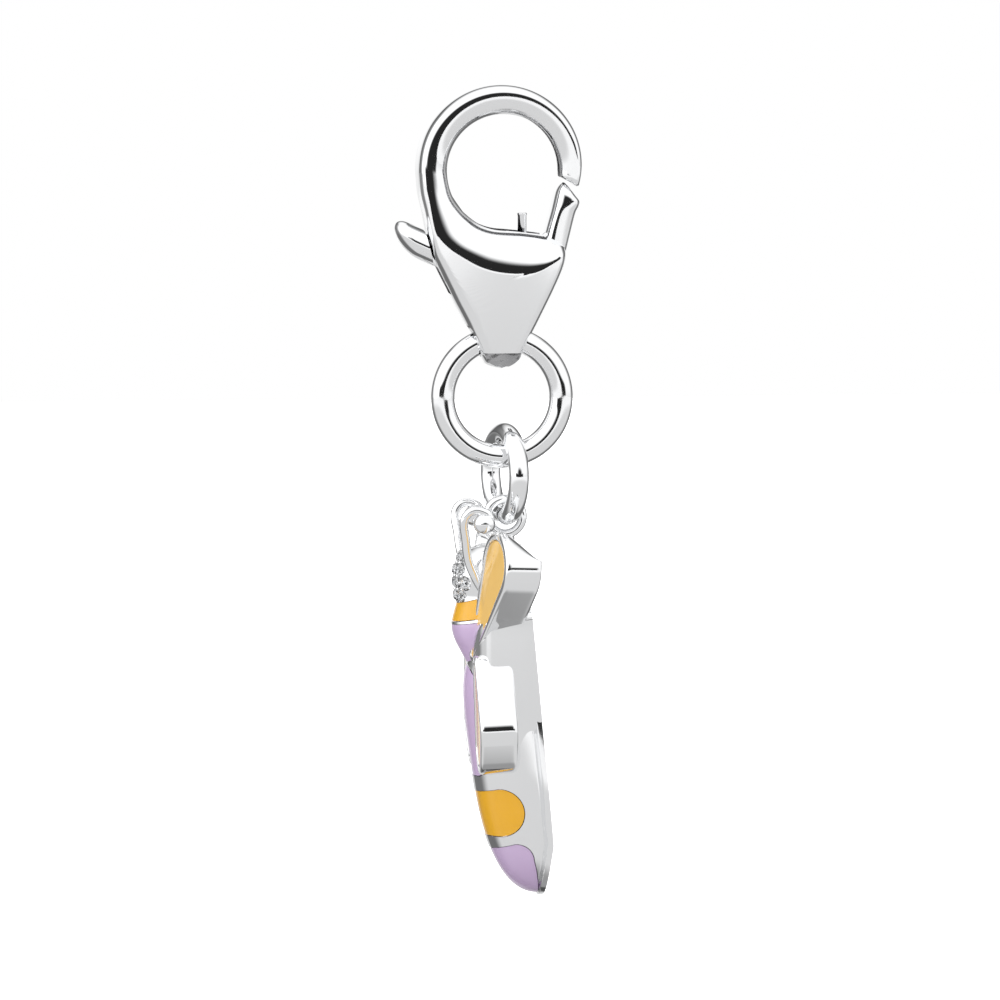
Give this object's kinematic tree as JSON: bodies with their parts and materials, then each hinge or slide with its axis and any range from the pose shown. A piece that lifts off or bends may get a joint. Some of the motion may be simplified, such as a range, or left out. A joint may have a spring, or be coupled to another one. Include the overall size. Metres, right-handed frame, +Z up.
{
  "type": "bee charm",
  "caption": "Polished white-metal bee charm with lilac and yellow enamel, hanging by two rings from a lobster clasp.",
  "frame": {"origin": "inside top of the clasp's hook, where the charm hangs", "axes": "+Z up, +X to the gate's side of the clasp and the bee's back, +Y behind the clasp's broad side"},
  "size_m": [0.0078, 0.009, 0.0342],
  "materials": {
    "polished_silver": "mirror-polished white metal",
    "lilac_enamel": "glossy lilac enamel",
    "yellow_enamel": "glossy golden-yellow enamel",
    "wing_enamel": "glossy pale orange-yellow enamel",
    "clear_stone": "clear faceted stone"
  },
  "bodies": {
    "clasp": {"clasp_body": "polished_silver", "clasp_rivet": "polished_silver"},
    "lever": {"clasp_lever": "polished_silver", "clasp_spring": "polished_silver"},
    "large_ring": {"jump_ring": "polished_silver"},
    "small_ring": {"link_ring": "polished_silver"},
    "bee": {"bee_casting": "polished_silver", "thorax_enamel_yellow": "yellow_enamel", "thorax_enamel_lilac": "lilac_enamel", "abdomen_enamel_upper": "lilac_enamel", "abdomen_enamel_middle": "yellow_enamel", "abdomen_enamel_tip": "lilac_enamel", "upper_wing_enamel_left": "wing_enamel", "upper_wing_enamel_right": "wing_enamel", "lower_wing_enamel_left": "wing_enamel", "lower_wing_enamel_right": "wing_enamel", "head_stone_1": "clear_stone", "head_stone_2": "clear_stone", "head_stone_3": "clear_stone", "head_stone_4": "clear_stone", "head_stone_5": "clear_stone", "head_stone_6": "clear_stone", "head_stone_7": "clear_stone", "head_stone_8": "clear_stone", "head_stone_9": "clear_stone", "head_stone_10": "clear_stone", "head_stone_11": "clear_stone", "head_stone_12": "clear_stone"}
  },
  "joints": [
    {"name": "lever_press", "type": "hinge", "parent": "clasp", "child": "lever", "pos_m": [-0.00093, 0, -0.00695], "axis": [0, -1, 0], "range_deg": [0, 20], "stiffness_Nm_per_rad": 0.002, "springref_deg": -8.59},
    {"name": "ring_swing", "type": "hinge", "parent": "clasp", "child": "large_ring", "pos_m": [0, 0, -0.00944], "axis": [1, 0, 0], "range_deg": [-90, 90]},
    {"name": "link_swing", "type": "hinge", "parent": "large_ring", "child": "small_ring", "pos_m": [0, 0, -0.01444], "axis": [1, 0, 0], "range_deg": [-60, 60]},
    {"name": "bee_swing", "type": "hinge", "parent": "small_ring", "child": "bee", "pos_m": [0.00012, 0, -0.01692], "axis": [0.2419, -0.9703, 0], "range_deg": [-45, 75]}
  ]
}
